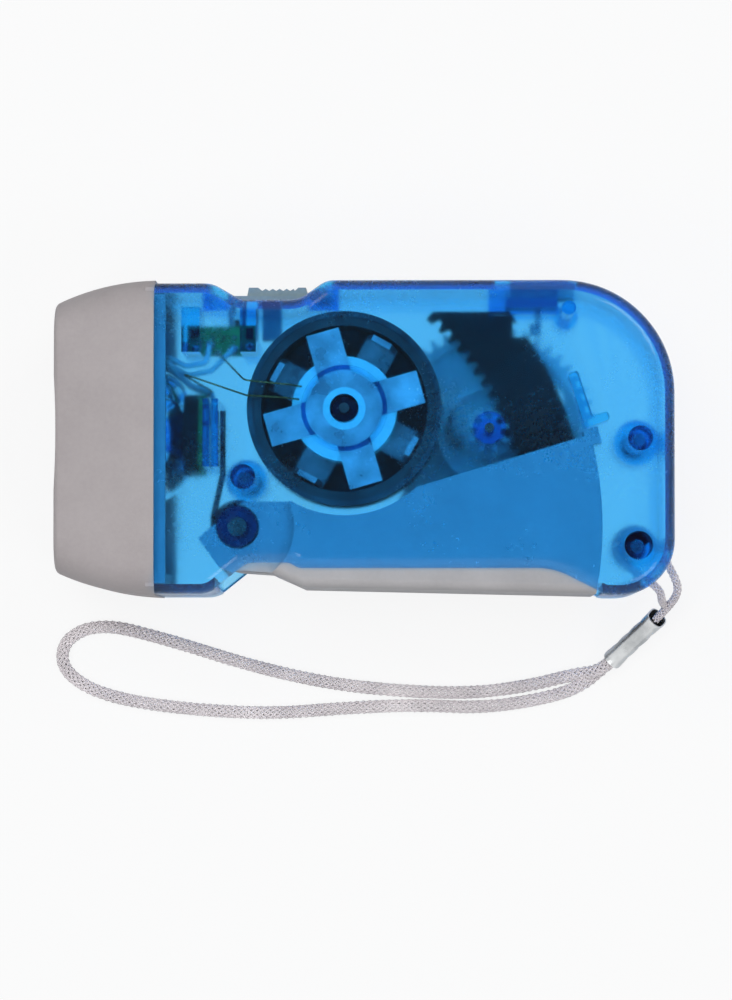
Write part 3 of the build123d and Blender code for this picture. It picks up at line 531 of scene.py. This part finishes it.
@dataclass
class BoardWork:
    """Solder joints and surface-mounted parts on the switch board."""

    top: float = 22.7
    joints: ClassVar[list[tuple[float, float, float]]] = [
        (-26.6, 16.4, 0.85), (-22.6, 15.6, 0.85), (-25.2, 15.0, 0.55), (-29.0, 15.6, 0.6), (-19.7, 16.0, 0.6)]
    placed: ClassVar[list[tuple[Part, float, float, float]]] = [
        (Part.RESISTOR, -28.9, 18.3, 0.0), (Part.DIODE, -19.7, 18.2, 90.0)]

    def solder(self) -> bpy.types.Object:
        """A hollow-flanked mound round each wire's end."""
        shape = bmesh.new()
        for x, y, radius in self.joints:
            outline = [shape.verts.new((x + radius * (1 - rise) ** 1.8 + 0.02, y,
                                        self.top + 0.9 * radius * rise))
                       for rise in (0.0, 0.15, 0.3, 0.5, 0.7, 0.85, 1.0)]
            edges = [shape.edges.new(pair) for pair in zip(outline, outline[1:])]
            bmesh.ops.spin(shape, geom=outline + edges, cent=(x, y, 0), axis=(0, 0, 1), angle=math.tau,
                           steps=20, use_merge=True)
        made = mesh_object("board_solder", shape, 60)
        SOLDER.dress(made, "plated_steel")
        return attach(made, "housing")

    def parts(self) -> bpy.types.Object:
        """Blocks with rounded edges, turned as placed."""
        shape = bmesh.new()
        for part, x, y, turn_deg in self.placed:
            length, width, height = part.value
            block = bmesh.ops.create_cube(shape, size=1.0)["verts"]
            bmesh.ops.scale(shape, verts=block, vec=(length, width, height))
            bmesh.ops.rotate(shape, verts=block, matrix=Matrix.Rotation(math.radians(turn_deg), 3, "Z"))
            bmesh.ops.translate(shape, verts=block, vec=(x, y, self.top + height / 2))
        bevel(shape, list(shape.edges), 0.08)
        made = mesh_object("board_parts", shape)
        BLACK_HOLDER.dress(made, "black_plastic")
        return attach(made, "housing")

    def build(self) -> None:
        """Both pieces."""
        self.solder()
        self.parts()


@dataclass
class LampInsides:
    """Inside each clear lamp: the two posts of the lead frame, each with a wider head, the larger one the cup."""

    lamps: tuple[str, ...] = ("led_1", "led_2", "led_3")

    def build(self) -> bpy.types.Object:
        """One piece for all three lead frames."""
        shape = bmesh.new()
        for name in self.lamps:
            low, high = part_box(name)
            middle = (low + high) / 2 / MM
            rear = high.x / MM
            for side, cup in ((-0.75, 1.1), (0.75, 0.6)):
                for (x0, x1), half in (((rear - 4.6, rear - 0.2), 0.25), ((rear - 5.4, rear - 4.5), cup / 2)):
                    block = bmesh.ops.create_cube(shape, size=1.0)["verts"]
                    bmesh.ops.scale(shape, verts=block, vec=(x1 - x0, 2 * half, 2 * half))
                    bmesh.ops.translate(shape, verts=block, vec=((x0 + x1) / 2, middle.y + side, middle.z))
        bevel(shape, list(shape.edges), 0.06)
        made = mesh_object("lamp_lead_frames", shape)
        PLATED.dress(made, "plated_steel")
        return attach(made, "housing")


# --- wrist strap --------------------------------------------------------------------------------------
@dataclass
class BraidedCord:
    """A flat tubular braid along a smooth route."""

    name: str
    route: list[Point]
    width: float
    thickness: float
    yarn: float
    carriers: int
    pitch: float
    node: str
    points_per_turn: int = 32
    path: list[Vector] = field(default_factory=list)

    def follow(self) -> None:
        """Reads the smooth line that the route's control points give, evenly spaced."""
        data = bpy.data.curves.new(self.name + "_route", "CURVE")
        data.dimensions = "3D"
        spline = data.splines.new("NURBS")
        spline.points.add(len(self.route) - 1)
        for control, point in zip(spline.points, self.route):
            control.co = (*metres(point), 1.0)
        spline.order_u = 3
        spline.use_endpoint_u = True
        spline.resolution_u = 16
        line = new_object(self.name + "_route", data)
        mesh = evaluated_mesh(line)
        self.path = [v.co.copy() for v in mesh.vertices]
        bpy.data.objects.remove(line)
        bpy.data.meshes.remove(mesh)

    def length(self) -> float:
        """The smooth line's length in metres."""
        return sum((b - a).length for a, b in zip(self.path, self.path[1:]))

    def stations(self, count: int) -> list[tuple[Vector, Vector, Vector]]:
        """Even stations along the line.

        Args:
            count: how many.

        Returns:
            Each station's point, sideways direction and upward direction.
        """
        runs = [(b - a).length for a, b in zip(self.path, self.path[1:])]
        total, done, here = sum(runs), 0.0, 0
        found = []
        for n in range(count):
            wanted = total * n / (count - 1)
            while here < len(runs) - 1 and done + runs[here] < wanted:
                done += runs[here]
                here += 1
            share = min(1.0, (wanted - done) / max(runs[here], 1e-9))
            point = self.path[here].lerp(self.path[here + 1], share)
            along = (self.path[min(here + 2, len(self.path) - 1)] - self.path[max(here - 1, 0)]).normalized()
            side = along.cross(Vector((0, 0, 1))).normalized()
            up = side.cross(along)
            found.append((point, side, up))
        return found

    def build(self) -> bpy.types.Object:
        """Lays every yarn over and under the others."""
        self.follow()
        turns = self.length() / MM / self.pitch
        count = int(turns * self.points_per_turn)
        stations = self.stations(count)
        lift = self.yarn * 0.42
        half_w = self.width / 2 - self.yarn - lift
        half_t = self.thickness / 2 - self.yarn - lift
        data = bpy.data.curves.new(self.name + "_yarns", "CURVE")
        data.dimensions = "3D"
        data.bevel_depth = self.yarn * MM
        data.bevel_resolution = 0
        data.use_fill_caps = True
        for sense in (1, -1):
            for carrier in range(self.carriers):
                spline = data.splines.new("POLY")
                spline.points.add(count - 1)
                for n, (point, side, up) in enumerate(stations):
                    wound = math.tau * turns * n / (count - 1)
                    angle = sense * wound + math.tau * carrier / self.carriers
                    proud = sense * lift * math.cos(self.carriers * wound)
                    across = side * (half_w + proud) * math.cos(angle)
                    above = up * (half_t + proud) * math.sin(angle)
                    spline.points[n].co = (*(point + (across + above) * MM), 1.0)
        yarns = new_object(self.name + "_yarns", data)
        mesh = evaluated_mesh(yarns)
        bpy.data.objects.remove(yarns)
        mesh.shade_smooth()
        mesh.name = self.name
        made = new_object(self.name, mesh)
        BRAID.dress(made, "braid")
        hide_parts(self.node)
        LOG.info("%s: %.0f mm of braid", self.name, self.length() / MM)
        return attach(made, "housing")


@dataclass
class WristStrap:
    """The long loop, the short loop round the screw post and the sleeve that joins them."""

    top: Vector = field(default_factory=lambda: Vector((50.7, -30.3, 9.0)))
    low: Vector = field(default_factory=lambda: Vector((43.3, -37.4, 3.2)))
    shift: float = 0.9
    sleeve: tuple[float, float] = (2.9, 4.4)
    strand_offset: float = 1.1
    lie: float = 1.07
    post: Vector = field(default_factory=lambda: Vector((46.35, -18.4, 19.0)))
    wrap: float = 3.518
    loop: ClassVar[list[tuple[float, float]]] = [
        (36.6, -41.0), (28.1, -43.1), (17.5, -44.4), (4.8, -43.9), (-7.8, -42.4), (-20.5, -39.5), (-31.1, -36.1),
        (-39.6, -33.7), (-45.2, -32.5), (-50.1, -33.0), (-53.6, -35.6), (-53.8, -39.6), (-50.4, -42.8),
        (-45.2, -44.9), (-37.4, -46.4), (-26.9, -47.5), (-16.3, -47.9), (-3.6, -46.9), (9.1, -46.4), (19.6, -46.9),
        (29.2, -45.7), (37.1, -43.6)]

    def axes(self) -> tuple[Vector, Vector, Vector]:
        """The sleeve's directions: along, across and up."""
        along = (self.low - self.top).normalized()
        across = along.cross(Vector((0, 0, 1))).normalized()
        return along, across, across.cross(along)

    def long_loop(self) -> BraidedCord:
        """The wrist loop, lying flat on the table."""
        along, _, up = self.axes()
        start = self.low + up * self.strand_offset
        end = self.low - up * self.strand_offset
        route = [start, start + along * 3.0, *[Vector((x, y + self.shift, self.lie)) for x, y in self.loop],
                 end + along * 2.0, end]
        return BraidedCord("wrist_loop", [tuple(p) for p in route], 2.4, 1.9, 0.25, 6, 6.8, "wrist_strap")

    def short_loop(self) -> BraidedCord:
        """The loop round the corner post."""
        along, _, up = self.axes()
        toward, aside = Vector((1, -1, 0)).normalized(), Vector((1, 1, 0)).normalized()
        first, last = self.top - up * self.strand_offset, self.top + up * self.strand_offset
        route = [first, first - along * 2.5, Vector((51.2, -27.8, 15.0)), Vector((50.9, -25.4, self.post.z))]
        for degrees in (-67.5, -112.5, -157.5, 157.5, 112.5, 67.5):
            turn = math.radians(degrees)
            route.append(self.post + toward * (self.wrap * math.cos(turn))
                         + aside * (self.wrap * math.sin(turn)))
        route += [Vector((53.1, -22.8, self.post.z)), Vector((54.3, -26.0, 16.6)), last - along * 2.5, last]
        return BraidedCord("anchor_loop", [tuple(p) for p in route], 1.5, 1.5, 0.17, 5, 4.6,
                           "strap_anchor_loop")

    def crimp(self) -> bpy.types.Object:
        """The sleeve: a flattened tube with rolled ends and two rows of punched dents."""
        along, across, up = self.axes()
        length = (self.low - self.top).length
        shape = bmesh.new()
        bmesh.ops.create_circle(shape, cap_ends=False, segments=40, radius=1.0)
        ring = list(shape.edges)
        for step in range(24):
            grown = bmesh.ops.extrude_edge_only(shape, edges=ring)["geom"]
            verts = [g for g in grown if isinstance(g, bmesh.types.BMVert)]
            edges = [g for g in grown if isinstance(g, bmesh.types.BMEdge)]
            ring = [edge for edge in edges if all(v in verts for v in edge.verts)]
            bmesh.ops.translate(shape, verts=verts, vec=(0, 0, length / 24))
        half_w, half_t = self.sleeve[0] / 2, self.sleeve[1] / 2
        for v in shape.verts:
            x, y, z = v.co
            squash = (abs(x) ** 3 + abs(y) ** 3) ** (1 / 3)
            flare = 1 + 0.05 * (math.exp(-(z / 0.5) ** 2) + math.exp(-((length - z) / 0.5) ** 2))
            dent = sum(math.exp(-((z - at) / 0.75) ** 2 - (y / 0.5) ** 2) for at in (3.0, 6.2, length - 2.6))
            x, y = x / squash * flare, y / squash * flare
            v.co = (x * half_w * (1 - 0.22 * dent), y * half_t, z)
        place = Matrix((across, up, along)).transposed().to_4x4()
        place.translation = self.top
        bmesh.ops.transform(shape, matrix=place, verts=shape.verts)
        bmesh.ops.solidify(shape, geom=list(shape.faces), thickness=0.25)
        made = mesh_object("crimp_sleeve", shape, 50)
        FERRULE_METAL.dress(made, "bright_metallised")
        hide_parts("strap_ferrule")
        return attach(made, "housing")

    def build(self) -> None:
        """Both loops and the sleeve."""
        sleeve = self.crimp()
        for cord, size in ((self.long_loop(), 2.4), (self.short_loop(), 1.5)):
            piece = cord.build()
            cord.length()


# --- room, lamps and camera ---------------------------------------------------------------------------
@dataclass
class Studio:
    """Pale table, soft lamps from the sides and a camera straight above."""

    stand: Point = (12.9, -40.8, 800.0)
    aim: Point = (0.26, -10.4, 27.0)
    frame_height: float = 170.7

    def camera(self) -> None:
        """Looks almost straight down, with the photograph's field and +Y upwards in the picture."""
        back = metres(self.stand) - metres(self.aim)
        data = bpy.data.cameras.new("camera")
        data.sensor_width = 36.0
        data.lens = 36.0 * back.length / MM / self.frame_height
        data.clip_start, data.clip_end = 0.01, 20.0
        made = new_object("camera", data)
        made.location = metres(self.stand)
        right = Vector((0, 1, 0)).cross(back).normalized()
        turned = Matrix((right, back.normalized().cross(right), back.normalized())).transposed()
        made.rotation_mode = "QUATERNION"
        made.rotation_quaternion = turned.to_quaternion()
        bpy.context.scene.camera = made

    def table(self) -> None:
        """A large white sheet of card whose own brightness keeps the picture's ground pale."""
        shape = bmesh.new()
        bmesh.ops.create_grid(shape, x_segments=1, y_segments=1, size=4000)
        floor = mesh_object("table", shape, None)
        card = bpy.data.materials.new("white card")
        card.use_nodes = True
        tree = card.node_tree
        tree.nodes.clear()
        path = add(tree, "LightPath")
        seen = add(tree, "Math", links={0: path.outputs["Is Camera Ray"], 1: path.outputs["Is Transmission Ray"]},
                   operation="MAXIMUM").outputs[0]
        matt = add(tree, "BsdfDiffuse", {"Color": linear("e2e3e4")}).outputs[0]
        white = add(tree, "Emission", {"Color": linear("ffffff"), "Strength": 1.0}).outputs[0]
        lifted = add(tree, "MixShader", {0: 0.86}, {1: matt, 2: white}).outputs[0]
        out = add(tree, "MixShader", links={0: seen, 1: matt, 2: lifted}).outputs[0]
        add(tree, "OutputMaterial", links={"Surface": out})
        floor.data.materials.append(card)

    def world(self) -> None:
        """White where the camera, a reflection or glass looks past the object, dim for light."""
        world = bpy.data.worlds.new("studio")
        bpy.context.scene.world = world
        world.use_nodes = True
        tree = world.node_tree
        tree.nodes.clear()
        path = add(tree, "LightPath")
        seen = add(tree, "Math", links={0: path.outputs["Is Camera Ray"], 1: path.outputs["Is Glossy Ray"]},
                   operation="MAXIMUM").outputs[0]
        seen = add(tree, "Math", links={0: seen, 1: path.outputs["Is Transmission Ray"]},
                   operation="MAXIMUM").outputs[0]
        fill = add(tree, "Background", {"Color": linear("eef2f6"), "Strength": 0.22}).outputs[0]
        rise = add(tree, "SeparateXYZ", links={0: add(tree, "TexCoord").outputs["Generated"]}).outputs["Z"]
        ceiling = spread(tree, rise, 1.0, 0.12, (0.55, 0.85))
        above = add(tree, "Math", links={0: ceiling, 1: path.outputs["Is Camera Ray"]},
                    operation="MAXIMUM").outputs[0]
        white = add(tree, "Background", {"Color": linear("ffffff")}, {"Strength": above}).outputs[0]
        out = add(tree, "MixShader", links={0: seen, 1: fill, 2: white}).outputs[0]
        add(tree, "OutputWorld", links={"Surface": out})

    def lamp(self, name: str, place: Point, size: float, power: float, mirrored: bool = True) -> None:
        """A square soft box that faces the torch.

        Args:
            name: the lamp's name.
            place: where it stands, in millimetres.
            size: its side in millimetres.
            power: watts.
            mirrored: False keeps its image out of gloss, as a polariser does.
        """
        data = bpy.data.lights.new(name, "AREA")
        data.shape = "SQUARE"
        data.size = size * MM
        data.energy = power
        made = new_object(name, data)
        made.location = metres(place)
        made.visible_glossy = mirrored
        made.visible_transmission = mirrored
        made.rotation_mode = "QUATERNION"
        made.rotation_quaternion = (metres((0, -10, 10)) - made.location).to_track_quat("-Z", "Y")

    def build(self) -> None:
        """Camera, table, world and lamps."""
        self.camera()
        self.table()
        self.world()
        self.lamp("overhead", (-60, 60, 1200), 500, 5.0, mirrored=False)
        for corner, (x, y) in enumerate(((-1, 1), (1, 1), (1, -1), (-1, -1))):
            self.lamp(f"corner_{corner}", (412 * x, 412 * y, 930), 350, 1.6)


def main() -> None:
    """Builds every sub-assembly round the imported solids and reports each."""
    logging.basicConfig(level=logging.INFO, format="%(name)s: %(message)s")
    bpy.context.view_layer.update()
    for part in (Studio(), WristStrap(), WoundCoil(), ReturnSpring(), BoardWork(), LampInsides()):
        part.build()
        LOG.info("built %s", type(part).__name__)
    CarriedNodes().dress()
    bpy.context.scene.view_settings.view_transform = "Standard"


if __name__ == "__main__":
    main()
